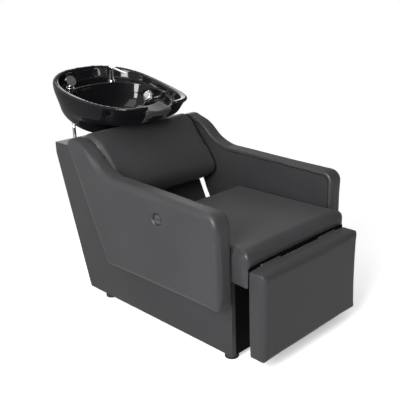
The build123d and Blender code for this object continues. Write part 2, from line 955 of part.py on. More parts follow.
def overflow_plane(depth):
    tilt = math.radians(rim_tilt)
    lean = math.radians(overflow_lean)
    normal = (-math.cos(lean), -math.sin(lean) * math.sin(tilt), math.sin(lean) * math.cos(tilt))
    start = rim_point(overflow_x, overflow_v, overflow_w)
    origin = tuple(a + depth * n for a, n in zip(start, normal))
    return Plane(origin=origin, x_dir=(0, math.cos(tilt), math.sin(tilt)), z_dir=normal)


def rim_edges(basin):
    round_faces = basin.faces().filter_by(GeomType.CYLINDER)
    tops = round_faces.filter_by(lambda face: abs((face.radius or 0) - rim_sag_radius) < match_tolerance)
    return tops.edges()


def ear_edges(basin):
    edges = basin.edges().filter_by(lambda edge: edge.geom_type != GeomType.LINE)
    shares = (0, 0.5, 1)
    ends = [
        edge
        for edge in edges
        if all(abs(abs(edge.position_at(t).X) - notch_half_width) < match_tolerance for t in shares)
    ]
    tops = [edge.center() for edge in rim_edges(basin)]
    return [edge for edge in ends if min((edge.center() - top).length for top in tops) > match_tolerance]


def basin_bowl():
    with BuildPart() as basin:
        add(bowl_body().part)
        add(upper_cavity().part, mode=Mode.SUBTRACT)
        add(well_cavity().part, mode=Mode.SUBTRACT)
        with BuildSketch(across_plane(0, basin_front + notch_reach, 0)):
            with Locations((0, notch_floor + rim_top)):
                RectangleRounded(2 * notch_half_width, 2 * rim_top, notch_round)
        extrude(amount=2 * notch_reach, mode=Mode.SUBTRACT)
        waste_hole = bar(deck_plane(0, waste_v, 2 * basin_floor), waste_hole_radius, -2 * basin_floor)
        add(waste_hole.part, mode=Mode.SUBTRACT)
        for x, v, r in ((mixer_x, mixer_v, mixer_pocket_radius), (shower_x, shower_v, holder_pocket_radius)):
            pocket = bar(deck_plane(x, v, 2 * basin_floor), r, -2 * basin_floor + deck_level - deck_skin)
            add(pocket.part, mode=Mode.SUBTRACT)
        shank_hole_radius = shank_radius + bolt_clearance
        mixer_hole = bar(deck_plane(mixer_x, mixer_v, basin_floor), shank_hole_radius, -basin_floor)
        add(mixer_hole.part, mode=Mode.SUBTRACT)
        tube_hole_radius = holder_tube_radius + bolt_clearance
        holder_hole = bar(deck_plane(shower_x, shower_v, basin_floor), tube_hole_radius, -basin_floor)
        add(holder_hole.part, mode=Mode.SUBTRACT)
        channel = tube(shower_hose_points(), hose_bends, hose_radius + hose_channel, 0)
        add(channel.part, mode=Mode.SUBTRACT)
        seat = bar(overflow_plane(-overflow_seat), overflow_radius + bolt_clearance, 2 * overflow_radius)
        add(seat.part, mode=Mode.SUBTRACT)
        fillet(ear_edges(basin), ear_round)
        fillet(rim_edges(basin), rim_round)
    return basin


def neck_rest(bowl):
    with BuildPart() as rest:
        with BuildSketch(rim_side_plane(-neck_rest_half_width)):
            with BuildLine():
                FilletPolyline(*neck_outline, radius=neck_round, close=True)
            make_face()
        extrude(amount=2 * neck_rest_half_width)
        with BuildSketch(across_plane(0, basin_front - notch_reach, neck_dip_radius - neck_dip)):
            Circle(neck_dip_radius)
        extrude(amount=-4 * notch_reach, mode=Mode.SUBTRACT)
        add(bowl.part, mode=Mode.SUBTRACT)
    with BuildPart() as pad:
        add(rest.part.solids().sort_by(SortBy.VOLUME)[-1])
    return pad


def waste_flange():
    with BuildPart() as flange:
        with BuildSketch(deck_plane(0, waste_v, well_floor)):
            Circle(waste_radius)
            Circle(waste_throat_radius, mode=Mode.SUBTRACT)
        extrude(amount=waste_lip)
        with BuildSketch(deck_plane(0, waste_v, basin_floor - waste_nut_height)):
            Circle(waste_hole_radius - bolt_clearance)
            Circle(waste_throat_radius, mode=Mode.SUBTRACT)
        extrude(amount=well_floor - basin_floor + waste_nut_height)
    return flange


def strainer():
    floor_w = well_floor + waste_lip - strainer_depth
    with BuildPart() as basket:
        with BuildSketch(deck_plane(0, waste_v, well_floor + waste_lip)):
            Circle(strainer_rim_radius)
        extrude(amount=strainer_wall)
        with BuildSketch(deck_plane(0, waste_v, floor_w)):
            Circle(strainer_radius)
        extrude(amount=strainer_depth)
        with BuildSketch(deck_plane(0, waste_v, floor_w + strainer_wall)):
            Circle(strainer_radius - strainer_wall)
        extrude(amount=strainer_depth + strainer_wall, mode=Mode.SUBTRACT)
        with BuildSketch(deck_plane(0, waste_v, floor_w)):
            Circle(strainer_knob_radius)
        extrude(amount=strainer_depth + strainer_wall)
        with BuildSketch(deck_plane(0, waste_v, floor_w)):
            with PolarLocations(strainer_ring_radius, strainer_holes):
                Circle(strainer_hole_radius)
        extrude(amount=strainer_wall, mode=Mode.SUBTRACT)
    return basket


def waste_tail():
    top_w = basin_floor - waste_nut_height
    with BuildPart() as tail:
        with BuildSketch(deck_plane(0, waste_v, top_w - tail_collar)):
            Circle(waste_hole_radius - bolt_clearance)
            Circle(tail_bore, mode=Mode.SUBTRACT)
        extrude(amount=tail_collar)
        with BuildSketch(deck_plane(0, waste_v, top_w - tail_length)):
            Circle(tail_radius)
            Circle(tail_bore, mode=Mode.SUBTRACT)
        extrude(amount=tail_length - tail_collar)
    return tail


def drain_hose():
    top_w = basin_floor - waste_nut_height - tail_length
    tail_end = rim_point(0, waste_v, top_w)
    start = (0, tail_end[1], tail_end[2] - drain_hose_drop)
    drain_hose_length = start[2] - drain_hose_low_z
    run = drain_hose_length / drain_ribs
    circles = []
    for n in range(drain_ribs):
        for share, rise in drain_rib_shares:
            radius = drain_rib_radius + rise * (drain_hose_radius - drain_rib_radius)
            circles.append((start[2] - (n + share) * run, radius))
    circles.append((start[2] - drain_ribs * run, drain_rib_radius))
    with BuildPart() as hose:
        for z, radius in circles:
            with BuildSketch(Plane.XY.offset(z)):
                with Locations((0, start[1])):
                    Circle(radius)
        loft(ruled=True)
        with BuildSketch(Plane.XY.offset(start[2] - drain_hose_length)):
            with Locations((0, start[1])):
                Circle(drain_bore_radius)
        extrude(amount=drain_hose_length, mode=Mode.SUBTRACT)
    return hose


def tilt_bracket():
    with BuildPart() as bracket:
        with BuildSketch(deck_plane(0, bracket_v, basin_floor - bracket_plate)):
            Rectangle(2 * bracket_half_width, bracket_depth)
        extrude(amount=bracket_plate)
        for x in (-lug_x - lug_thickness, lug_x):
            with BuildSketch(at_side(x)):
                with Locations((axle_y, axle_z)):
                    Circle(lug_half_width)
                with BuildLine():
                    tilt = math.radians(rim_tilt)
                    rise = (-math.sin(tilt), math.cos(tilt))
                    run = (math.cos(tilt), math.sin(tilt))
                    half = lug_half_width
                    low = [(axle_y + s * half * run[0], axle_z + s * half * run[1]) for s in (-1, 1)]
                    high = [(p[0] + lug_rise * rise[0], p[1] + lug_rise * rise[1]) for p in reversed(low)]
                    Polyline(*low, *high, close=True)
                make_face()
                with Locations((axle_y, axle_z)):
                    Circle(axle_radius + running_gap, mode=Mode.SUBTRACT)
            extrude(amount=lug_thickness)
    return bracket


def tilt_pedestal():
    inner = lug_x + lug_thickness + cheek_gap
    outer = inner + lug_thickness
    with BuildPart() as pedestal:
        with BuildSketch(Plane.XY.offset(shell_top_z)):
            with Locations((0, axle_y)):
                Rectangle(2 * outer, pedestal_depth)
        extrude(amount=pedestal_plate)
        for x in (-outer, inner):
            with BuildSketch(at_side(x)):
                with Locations((axle_y, axle_z)):
                    Circle(lug_half_width)
                with Locations((axle_y, (shell_top_z + axle_z) / 2)):
                    Rectangle(2 * lug_half_width, axle_z - shell_top_z)
                with Locations((axle_y, axle_z)):
                    Circle(axle_radius, mode=Mode.SUBTRACT)
            extrude(amount=lug_thickness)
    return pedestal


def tilt_axle():
    outer = lug_x + 2 * lug_thickness + cheek_gap
    with BuildPart() as axle:
        with BuildSketch(side_plane(-outer, axle_y, axle_z)):
            Circle(axle_radius)
        extrude(amount=2 * outer + nut_length)
        with BuildSketch(side_plane(-outer, axle_y, axle_z)):
            RegularPolygon(nut_radius, 6)
        extrude(amount=-nut_length)
    return axle


def axle_nut():
    inner = lug_x + 2 * lug_thickness + cheek_gap
    with BuildPart() as nut:
        with BuildSketch(side_plane(inner, axle_y, axle_z)):
            RegularPolygon(nut_radius, 6)
            Circle(axle_radius, mode=Mode.SUBTRACT)
        extrude(amount=nut_length)
    return nut


def basin_stop():
    low = rim_z - (rim_y - buffer_y) * math.tan(math.radians(rim_tilt))
    top = low + basin_floor / math.cos(math.radians(rim_tilt)) - buffer_gap
    edge = buffer_radius * math.tan(math.radians(rim_tilt))
    height = top - edge - shell_top_z
    plane = Plane(origin=(0, buffer_y, shell_top_z), x_dir=(1, 0, 0), z_dir=(0, 0, 1))
    return bar(plane, buffer_radius, height)

def drain_outlet():
    tail_end = rim_point(0, waste_v, basin_floor - waste_nut_height - tail_length)
    y = tail_end[1]
    end_y = rear_y(drain_outlet_z) + outlet_reach
    with BuildPart() as outlet:
        with BuildLine():
            FilletPolyline(
                (0, y, drain_hose_low_z),
                (0, y, drain_outlet_z),
                (0, end_y, drain_outlet_z),
                radius=outlet_bend,
            )
        with BuildSketch(Plane.XY.offset(drain_hose_low_z)):
            with Locations((0, y)):
                Circle(outlet_radius)
                Circle(outlet_radius - outlet_wall, mode=Mode.SUBTRACT)
        sweep()
    return outlet


def mixer_body():
    base = deck_level
    with BuildPart() as body:
        with BuildSketch(deck_plane(mixer_x, mixer_v, base)):
            Circle(mixer_foot_radius)
        extrude(amount=mixer_foot)
        with BuildSketch(deck_plane(mixer_x, mixer_v, base)):
            Circle(mixer_radius)
        extrude(amount=mixer_height - lever_cap)
        with BuildSketch(deck_plane(mixer_x, mixer_v, base - deck_skin - mixer_thread)):
            Circle(shank_radius)
        extrude(amount=deck_skin + mixer_thread)
    return body


def mixer_lever():
    top = deck_level + mixer_height - lever_cap + mixer_gap
    with BuildPart() as handle:
        with BuildSketch(deck_plane(mixer_x, mixer_v, top)):
            Circle(lever_radius)
        extrude(amount=lever_cap)
        edge = handle.faces().sort_by(Axis.Z)[-1].edges()
        fillet(edge, lever_round)
        with BuildSketch(across_plane(mixer_x, mixer_v, top + lever_cap / 2)):
            SlotOverall(2 * lever_arm_half, lever_arm_thickness)
        extrude(amount=lever_arm)
    return handle


def mixer_nut():
    with BuildPart() as nut:
        with BuildSketch(deck_plane(mixer_x, mixer_v, deck_level - deck_skin - mixer_nut_height)):
            RegularPolygon(mixer_nut_radius, 6)
            Circle(shank_radius, mode=Mode.SUBTRACT)
        extrude(amount=mixer_nut_height)
    return nut


def shower_holder():
    with BuildPart() as holder:
        with BuildSketch(deck_plane(shower_x, shower_v, deck_level)):
            Circle(holder_radius)
        extrude(amount=holder_height)
        edge = holder.faces().sort_by(Axis.Z)[-1].edges()
        fillet(edge, lever_round)
        with BuildSketch(deck_plane(shower_x, shower_v, deck_level - deck_skin - holder_thread)):
            Circle(holder_tube_radius)
        extrude(amount=deck_skin + holder_thread)
        with BuildSketch(deck_plane(shower_x, shower_v, deck_level - deck_skin - holder_thread)):
            Circle(handle_radius + handle_gap)
        extrude(amount=deck_skin + holder_thread + holder_height, mode=Mode.SUBTRACT)
    return holder


def shower_top():
    return deck_level + holder_height + handle_rise


def hand_shower():
    low = deck_level - deck_skin - holder_thread
    top = shower_top()
    with BuildPart() as shower:
        with BuildSketch(deck_plane(shower_x, shower_v, low)):
            Circle(handle_radius)
        extrude(amount=top - low)
        with BuildSketch(deck_plane(shower_x, shower_v, deck_level + holder_height + handle_gap)):
            Circle(holder_radius - holder_step)
        extrude(amount=handle_flare)
        with BuildSketch(head_plane(-head_depth / 2)):
            Circle(head_radius)
        extrude(amount=head_depth)
        with BuildSketch(head_plane(head_depth / 2 - face_depth)):
            Circle(face_radius)
        extrude(amount=face_depth, mode=Mode.SUBTRACT)
        back = Axis(head_plane(0).origin, head_plane(0).z_dir)
        edge = shower.edges().filter_by(GeomType.CIRCLE).sort_by(back)[0]
        fillet(edge, head_round)
    return shower


def head_plane(depth):
    tilt = math.radians(rim_tilt + head_tilt)
    normal = (0, -math.sin(tilt), math.cos(tilt))
    start = rim_point(shower_x, shower_v, shower_top() + head_radius * head_lift_share)
    origin = tuple(a + depth * n for a, n in zip(start, normal))
    return Plane(origin=origin, x_dir=(1, 0, 0), z_dir=normal)


def shower_face():
    with BuildPart() as face:
        with BuildSketch(head_plane(head_depth / 2 - face_depth)):
            Circle(face_radius - board_fit)
        extrude(amount=face_depth)
        with BuildSketch(head_plane(head_depth / 2)):
            for ring, count in face_rings:
                with PolarLocations(ring, count):
                    Circle(nozzle_radius)
        extrude(amount=-nozzle_depth, mode=Mode.SUBTRACT)
    return face


def tube(points, radii, radius, wall):
    with BuildPart() as hose:
        with BuildLine() as path:
            FilletPolyline(*points, radius=radii)
        start = path.line @ 0
        with BuildSketch(Plane(origin=start, z_dir=path.line % 0)):
            Circle(radius)
            if wall:
                Circle(radius - wall, mode=Mode.SUBTRACT)
        sweep()
    return hose


def shower_hose_points():
    low = rim_point(shower_x, shower_v, deck_level - deck_skin - holder_thread)
    next_point = rim_point(shower_x, shower_v, deck_level - deck_skin - holder_thread - hose_lead)
    return [low, next_point, (hose_x, hose_y, hose_bend_z), (hose_x, hose_y, hose_end_z)]


def shower_hose():
    print("shower hose bend radii", hose_bends)
    return tube(shower_hose_points(), hose_bends, hose_radius, hose_wall)


def supply_hose(side):
    x = mixer_x + side * supply_spacing / 2
    low_w = deck_level - deck_skin - mixer_thread
    start = rim_point(mixer_x + side * supply_root, mixer_v, low_w)
    lead = rim_point(mixer_x + side * supply_root, mixer_v, low_w - supply_lead)
    low = (x, supply_low_y, supply_low_z)
    points = [start, lead, low, (x, supply_floor_y, supply_bend_z), (x, supply_floor_y, supply_end_z)]
    print("supply hose bend radii", supply_bends)
    return tube(points, supply_bends, supply_radius, hose_wall)


def overflow_cover():
    with BuildPart() as cover:
        with BuildSketch(overflow_plane(-overflow_seat)):
            Circle(overflow_radius)
        extrude(amount=overflow_seat)
        with BuildSketch(overflow_plane(0)):
            Circle(overflow_radius - overflow_rim)
        extrude(amount=overflow_depth, taper=overflow_taper)
        normal = Axis(overflow_plane(0).origin, overflow_plane(0).z_dir)
        top = cover.faces().sort_by(normal)[-1]
        fillet(top.edges(), overflow_round)
    return cover


def grommet(x, y, hole):
    with BuildPart() as ring:
        with BuildSketch(Plane.XY.offset(shell_top_z - board)):
            with Locations((x, y)):
                Circle(hole)
                Circle(hole - grommet_wall, mode=Mode.SUBTRACT)
        extrude(amount=board)
        with BuildSketch(Plane.XY.offset(shell_top_z)):
            with Locations((x, y)):
                Circle(hole + grommet_wall)
                Circle(hole - grommet_wall, mode=Mode.SUBTRACT)
        extrude(amount=grommet_height)
    return ring


def shell_top():
    low = shell_top_z - board
    outline = [
        (wall_y(low), low),
        (wall_y(shell_top_z), shell_top_z),
        (shell_rear_y, shell_top_z),
        (shell_rear_y, low),
    ]
    drain_y = rim_point(0, waste_v, basin_floor - waste_nut_height - tail_length)[1]
    with BuildPart() as top:
        extrude(polygon(at_side(-base_half_width), outline), amount=2 * base_half_width)
        with BuildSketch(Plane.XY.offset(low)):
            with Locations((0, drain_y - drain_hole_shift)):
                Circle(drain_hole_radius)
            with Locations((hose_x, hose_y)):
                Circle(hose_hole_radius)
            with Locations((supply_x, supply_floor_y)):
                SlotOverall(supply_hole_length, supply_hole_width)
        extrude(amount=board, mode=Mode.SUBTRACT)
    return top


def shell_wall():
    top = shell_top_z - board
    run = thin_board / math.cos(math.atan2(wall_run, shell_top_z - base_top_z))
    outline = [
        (wall_y(base_top_z), base_top_z),
        (wall_y(top), top),
        (wall_y(top) + run, top),
        (wall_y(base_top_z) + run, base_top_z),
    ]
    return slanted_panel(outline, side_inner_x)


def rear_panel():
    top = shell_top_z - board
    run = thin_board / math.cos(math.atan2(shell_rear_y - base_rear_y, shell_kink_z - foot_height))
    outline = [
        (rear_y(foot_height), foot_height),
        (shell_rear_y, shell_kink_z),
        (shell_rear_y, top),
        (shell_rear_y - run, top),
        (shell_rear_y - run, shell_kink_z),
        (rear_y(foot_height) - run, foot_height),
    ]
    with BuildPart() as panel:
        extrude(polygon(at_side(-side_inner_x), outline), amount=2 * side_inner_x)
        add(inlet_cut().part, mode=Mode.SUBTRACT)
        with BuildSketch(Plane.XZ.offset(-shell_rear_y)):
            with Locations((0, drain_outlet_z)):
                Circle(outlet_radius + board_fit)
        extrude(amount=shell_rear_y - base_rear_y, mode=Mode.SUBTRACT)
    return panel


def front_panel():
    with BuildPart() as panel:
        with BuildSketch(Plane.XZ.offset(-base_front_y)):
            with Locations((0, (foot_height + base_top_z) / 2)):
                Rectangle(2 * side_inner_x, base_top_z - foot_height)
            with Locations((0, base_top_z)):
                Rectangle(2 * front_notch_half, 2 * front_notch_depth, mode=Mode.SUBTRACT)
        extrude(amount=-board)
    return panel


def base_floor():
    y0 = base_front_y + board
    y1 = rear_y(foot_height) - 1.2 * thin_board
    return block(-side_inner_x, side_inner_x, y0, y1, foot_height, foot_height + board)


def foot(x, y):
    with BuildPart() as rubber:
        with BuildSketch(Plane.XY):
            with Locations((x, y)):
                Circle(foot_radius)
        extrude(amount=foot_height, taper=foot_taper)
    return rubber


parts = {}
for label, side in (("left", -1), ("right", 1)):
    parts["base_side_" + label] = base_side(-base_half_width if side < 0 else side_inner_x)
    parts["arm_pad_" + label] = arm_pad(side)
    parts["arm_board_" + label] = arm_board(side)
    parts["foot_front_" + label] = foot(side * foot_x, foot_front_y)
    parts["foot_rear_" + label] = foot(side * foot_x, foot_rear_y)
    parts["supply_hose_" + label] = supply_hose(side)
    hinge_x = hinge_inner_x if side > 0 else -hinge_inner_x - hinge_length
    fixed_y = seat_rail_front_y - hinge_leaf
    moving_bore = hinge_pin_radius + running_gap
    parts["hinge_fixed_" + label] = hinge_leaf_part(hinge_x, fixed_y, 0, hinge_pin_radius)
    parts["hinge_moving_" + label] = hinge_leaf_part(hinge_x, leg_rear_y, 1, moving_bore)
    parts["hinge_pin_" + label] = hinge_pin(hinge_x)

parts["base_floor"] = base_floor()
parts["front_panel"] = front_panel()
parts["shell_wall"] = shell_wall()
parts["rear_panel"] = rear_panel()
parts["shell_top"] = shell_top()
parts["power_inlet"] = power_inlet()
parts["seat_frame"] = seat_frame()
parts["seat_cushion"] = seat_cushion()
parts["back_board"] = back_board()
parts["back_cushion"] = back_cushion()
parts["leg_board"] = leg_board()
parts["leg_cushion"] = leg_cushion()
parts["lift_rail"] = lift_rail()
parts["lift_body"] = lift_body()
parts["lift_rear_pin"] = cross_bar(lift_rear_y, lift_rear_z, lift_pin_radius, lift_pin_half)
parts["lift_rod"] = lift_rod()
front_pin_y = hinge_y + lift_pin_reach
front_pin_z = hinge_z - lift_pin_drop
parts["lift_front_pin"] = cross_bar(front_pin_y, front_pin_z, lift_pin_radius, lift_pin_half)
parts["lift_lever"] = lever()
parts["switch_bezel"] = switch_bezel()
parts["switch_cup"] = switch_cup()
parts["button_up"] = button(1)
parts["button_down"] = button(-1)
bowl = basin_bowl()
parts["basin_bowl"] = bowl
parts["neck_rest"] = neck_rest(bowl)
parts["waste_flange"] = waste_flange()
parts["waste_tail"] = waste_tail()
parts["strainer"] = strainer()
parts["drain_hose"] = drain_hose()
parts["drain_outlet"] = drain_outlet()
parts["tilt_bracket"] = tilt_bracket()
parts["tilt_pedestal"] = tilt_pedestal()
parts["tilt_axle"] = tilt_axle()
parts["axle_nut"] = axle_nut()
parts["basin_stop"] = basin_stop()
parts["overflow_cover"] = overflow_cover()
parts["mixer_body"] = mixer_body()
parts["mixer_lever"] = mixer_lever()
parts["shower_holder"] = shower_holder()
parts["hand_shower"] = hand_shower()
parts["shower_face"] = shower_face()
parts["shower_hose"] = shower_hose()

for name, solid in parts.items():
    solid.part.label = name
    export_step(solid.part, "parts/" + name + ".step")
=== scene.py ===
# %% [markdown]
# A hair washing bed stands in a salon: a chair with two winged arms, a leg rest that swings up,
# and a black basin that tilts on a cabinet behind the neck.
# The solid model gives every rigid piece its place and size. This lesson dresses it: leatherette
# on the pads, glaze on the basin, chrome on the fittings, screws, nozzles and soft light.

import json
import math

import bmesh
import bpy
import numpy as np
from mathutils import Matrix, Vector


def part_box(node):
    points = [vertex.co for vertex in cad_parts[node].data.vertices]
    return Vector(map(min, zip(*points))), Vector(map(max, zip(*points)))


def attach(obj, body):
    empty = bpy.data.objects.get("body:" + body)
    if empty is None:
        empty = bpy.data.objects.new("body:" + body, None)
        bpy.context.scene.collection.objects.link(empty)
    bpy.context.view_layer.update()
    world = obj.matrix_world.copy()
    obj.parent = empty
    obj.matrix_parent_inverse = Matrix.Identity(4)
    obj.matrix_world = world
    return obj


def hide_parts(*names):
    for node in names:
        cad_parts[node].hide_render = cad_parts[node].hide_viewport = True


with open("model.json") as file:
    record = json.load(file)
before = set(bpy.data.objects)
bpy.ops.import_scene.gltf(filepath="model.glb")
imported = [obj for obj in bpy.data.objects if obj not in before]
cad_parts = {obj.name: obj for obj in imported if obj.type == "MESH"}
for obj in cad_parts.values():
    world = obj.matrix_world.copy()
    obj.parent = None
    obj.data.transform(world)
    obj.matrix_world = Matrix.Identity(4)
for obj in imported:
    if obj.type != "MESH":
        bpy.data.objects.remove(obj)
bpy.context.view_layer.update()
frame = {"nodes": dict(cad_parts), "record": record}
nodes = frame["nodes"]

# %% [markdown]
# The camera stands at the left front corner, a little above the arms. Its place, turn and lens
# were fitted to the straight edges of the unit. Most edges fall within a few pixels of the photo.
# A camera looks along its own minus Z, so its axes are built as three vectors.

# %% Camera
azimuth = math.radians(-43.784)
elevation = math.radians(18.714)
roll = math.radians(-2.136)
distance = 2.5718
target = Vector((-0.00143, -0.09464, 0.43952))
lens_mm = 57.42

back = Vector((
    math.sin(azimuth) * math.cos(elevation),
    -math.cos(azimuth) * math.cos(elevation),
    math.sin(elevation),
))
level_right = (-back).cross(Vector((0, 0, 1))).normalized()
level_up = level_right.cross(-back).normalized()
right = math.cos(roll) * level_right + math.sin(roll) * level_up
up = -math.sin(roll) * level_right + math.cos(roll) * level_up
camera_data = bpy.data.cameras.new("salon_camera")
camera_data.lens = lens_mm
camera_data.sensor_width = 36
camera_data.clip_end = 50
camera = bpy.data.objects.new("salon_camera", camera_data)
turn = Matrix((right, up, back)).transposed().to_4x4()
camera.matrix_world = Matrix.Translation(target + back * distance) @ turn
bpy.context.scene.collection.objects.link(camera)
bpy.context.scene.camera = camera
print("camera at", tuple(round(c, 3) for c in camera.matrix_world.translation))

# %% [markdown]
# The unit stands on a white sweep. Near it the floor is a pale surface with a little glow, which
# takes a faint shadow. Further out the camera sees pure white, and reflections see a dim grey.

# %% Floor and world
scene = bpy.context.scene
scene.view_settings.view_transform = "Standard"


def new_node(tree, kind, **values):
    node = tree.nodes.new(kind)
    for key, value in values.items():
        if hasattr(node, key):
            setattr(node, key, value)
        else:
            node.inputs[key.replace("_", " ")].default_value = value
    return node


world = bpy.data.worlds.new("white_studio")
scene.world = world
world.use_nodes = True
tree = world.node_tree
tree.nodes.clear()
path = new_node(tree, "ShaderNodeLightPath")
ambient = new_node(tree, "ShaderNodeBackground")
ambient.inputs["Color"].default_value = (1, 1, 1, 1)
heading = new_node(tree, "ShaderNodeTexCoord")
toward = new_node(tree, "ShaderNodeVectorMath", operation="DOT_PRODUCT")
toward.inputs[1].default_value = (-0.80, 0.45, 0.40)
level = new_node(tree, "ShaderNodeMapRange", interpolation_type="SMOOTHSTEP")
level.inputs["From Min"].default_value = -0.7
level.inputs["From Max"].default_value = 0.9
level.inputs["To Min"].default_value = 0.07
level.inputs["To Max"].default_value = 0.66
tree.links.new(heading.outputs["Generated"], toward.inputs[0])
tree.links.new(toward.outputs["Value"], level.inputs["Value"])
tree.links.new(level.outputs[0], ambient.inputs["Strength"])
seen = new_node(tree, "ShaderNodeBackground")
seen.inputs["Color"].default_value = (1, 1, 1, 1)
seen.inputs["Strength"].default_value = 1.0
pick = new_node(tree, "ShaderNodeMixShader")
out = new_node(tree, "ShaderNodeOutputWorld")
tree.links.new(path.outputs["Is Camera Ray"], pick.inputs[0])
tree.links.new(ambient.outputs[0], pick.inputs[1])
tree.links.new(seen.outputs[0], pick.inputs[2])
tree.links.new(pick.outputs[0], out.inputs[0])


def mesh_object(name, verts, faces):
    mesh = bpy.data.meshes.new(name)
    mesh.from_pydata(verts, [], faces)
    mesh.update()
    obj = bpy.data.objects.new(name, mesh)
    scene.collection.objects.link(obj)
    return obj


floor_size = 7.0
shadow_reach = (0.75, 1.5)
floor = mesh_object(
    "white_floor",
    [(x * floor_size, y * floor_size, 0) for x, y in ((-1, -1), (1, -1), (1, 1), (-1, 1))],
    [(0, 1, 2, 3)],
)
floor_mat = bpy.data.materials.new("white_floor")
floor_mat.use_nodes = True
tree = floor_mat.node_tree
tree.nodes.clear()
paper = new_node(tree, "ShaderNodeBsdfDiffuse")
paper.inputs["Color"].default_value = (0.86, 0.86, 0.87, 1)
glow = new_node(tree, "ShaderNodeEmission")
glow.inputs["Color"].default_value = (1, 1, 1, 1)
glow.inputs["Strength"].default_value = 0.44
add_light = new_node(tree, "ShaderNodeAddShader")
path = new_node(tree, "ShaderNodeLightPath")
mirrored = new_node(tree, "ShaderNodeEmission")
mirrored.inputs["Strength"].default_value = 0.30
pick = new_node(tree, "ShaderNodeMixShader")
out = new_node(tree, "ShaderNodeOutputMaterial")
tree.links.new(paper.outputs[0], add_light.inputs[0])
tree.links.new(glow.outputs[0], add_light.inputs[1])
tree.links.new(path.outputs["Is Glossy Ray"], pick.inputs[0])
tree.links.new(add_light.outputs[0], pick.inputs[1])
tree.links.new(mirrored.outputs[0], pick.inputs[2])
place = new_node(tree, "ShaderNodeTexCoord")
reach = new_node(tree, "ShaderNodeVectorMath", operation="LENGTH")
fade = new_node(tree, "ShaderNodeMapRange", interpolation_type="SMOOTHSTEP")
fade.inputs["From Min"].default_value = shadow_reach[0]
fade.inputs["From Max"].default_value = shadow_reach[1]
far_white = new_node(tree, "ShaderNodeEmission")
far_white.inputs["Strength"].default_value = 1.0
blend = new_node(tree, "ShaderNodeMixShader")
seen_far = new_node(tree, "ShaderNodeMath", operation="MULTIPLY")
tree.links.new(place.outputs["Object"], reach.inputs[0])
tree.links.new(reach.outputs["Value"], fade.inputs["Value"])
tree.links.new(fade.outputs[0], seen_far.inputs[0])
tree.links.new(path.outputs["Is Camera Ray"], seen_far.inputs[1])
tree.links.new(seen_far.outputs[0], blend.inputs[0])
tree.links.new(pick.outputs[0], blend.inputs[1])
tree.links.new(far_white.outputs[0], blend.inputs[2])
tree.links.new(blend.outputs[0], out.inputs[0])
floor.data.materials.append(floor_mat)
print("floor", floor_size * 2, "m wide")

# %% [markdown]
# Product photographs of black leather use big soft boxes. One at the left front lights the
# near arm, one overhead draws the pale lines along the top edges, and a weak one behind at the
# right opens the shadows.

# %% Soft boxes


def soft_box(name, place, aim, size, power):
    data = bpy.data.lights.new(name, "AREA")
    data.shape = "RECTANGLE"
    data.size = size[0]
    data.size_y = size[1]
    data.energy = power
    box = bpy.data.objects.new(name, data)
    direction = Vector(aim) - Vector(place)
    box.matrix_world = Matrix.Translation(place) @ direction.to_track_quat("-Z", "Y").to_matrix().to_4x4()
    scene.collection.objects.link(box)
    return box


soft_box("left_box", (-2.7, -1.25, 1.75), (0, -0.1, 0.4), (1.2, 1.6), 116)
soft_box("top_box", (-0.7, -0.6, 2.9), (0, 0, 0.4), (2.0, 2.0), 24)
soft_box("back_box", (1.6, 2.6, 1.6), (0, 0.2, 0.6), (1.4, 1.8), 14)

# %% [markdown]
# Every finish starts from one principled shader. Noise on Object coordinates gives the colour a
# slow drift and the surface its fine bump, so the pattern stays on the piece when it moves.

# %% Finish helper
noise_low, noise_high = 0.3, 0.7
bump_depth = 0.0006


def finish(name, color, rough, metallic=0.0, drift=0.12, drift_scale=6.0, bump=0.0, bump_scale=300.0,
           sheen=0.0, rough_drift=0.06, specular=0.5):
    mat = bpy.data.materials.new(name)
    mat.use_nodes = True
    tree = mat.node_tree
    shader = tree.nodes["Principled BSDF"]
    place = new_node(tree, "ShaderNodeTexCoord")
    slow = new_node(tree, "ShaderNodeTexNoise")
    slow.inputs["Scale"].default_value = drift_scale
    slow.inputs["Detail"].default_value = 4
    tree.links.new(place.outputs["Object"], slow.inputs["Vector"])
    ramp = new_node(tree, "ShaderNodeMapRange")
    ramp.inputs["From Min"].default_value = noise_low
    ramp.inputs["From Max"].default_value = noise_high
    ramp.inputs["To Min"].default_value = 1 - drift
    ramp.inputs["To Max"].default_value = 1 + drift
    tree.links.new(slow.outputs["Fac"], ramp.inputs["Value"])
    tint = new_node(tree, "ShaderNodeVectorMath", operation="SCALE")
    tint.inputs[0].default_value = color
    tree.links.new(ramp.outputs[0], tint.inputs["Scale"])
    tree.links.new(tint.outputs[0], shader.inputs["Base Color"])
    worn = new_node(tree, "ShaderNodeMapRange")
    worn.inputs["From Min"].default_value = noise_low
    worn.inputs["From Max"].default_value = noise_high
    worn.inputs["To Min"].default_value = max(0.02, rough - rough_drift)
    worn.inputs["To Max"].default_value = rough + rough_drift
    tree.links.new(slow.outputs["Fac"], worn.inputs["Value"])
    tree.links.new(worn.outputs[0], shader.inputs["Roughness"])
    shader.inputs["Metallic"].default_value = metallic
    shader.inputs["Sheen Weight"].default_value = sheen
    shader.inputs["Specular IOR Level"].default_value = specular
    if bump:
        grain = new_node(tree, "ShaderNodeTexNoise")
        grain.inputs["Scale"].default_value = bump_scale
        grain.inputs["Detail"].default_value = 3
        tree.links.new(place.outputs["Object"], grain.inputs["Vector"])
        lift = new_node(tree, "ShaderNodeBump")
        lift.inputs["Strength"].default_value = bump
        lift.inputs["Distance"].default_value = bump_depth
        tree.links.new(grain.outputs["Fac"], lift.inputs["Height"])
        tree.links.new(lift.outputs[0], shader.inputs["Normal"])
    return mat


# %% [markdown]
# Leatherette is a vinyl skin pressed with a pebble grain. Voronoi cells make the pebbles, and
# noise breaks their edges up. The skin is dark grey and satin.

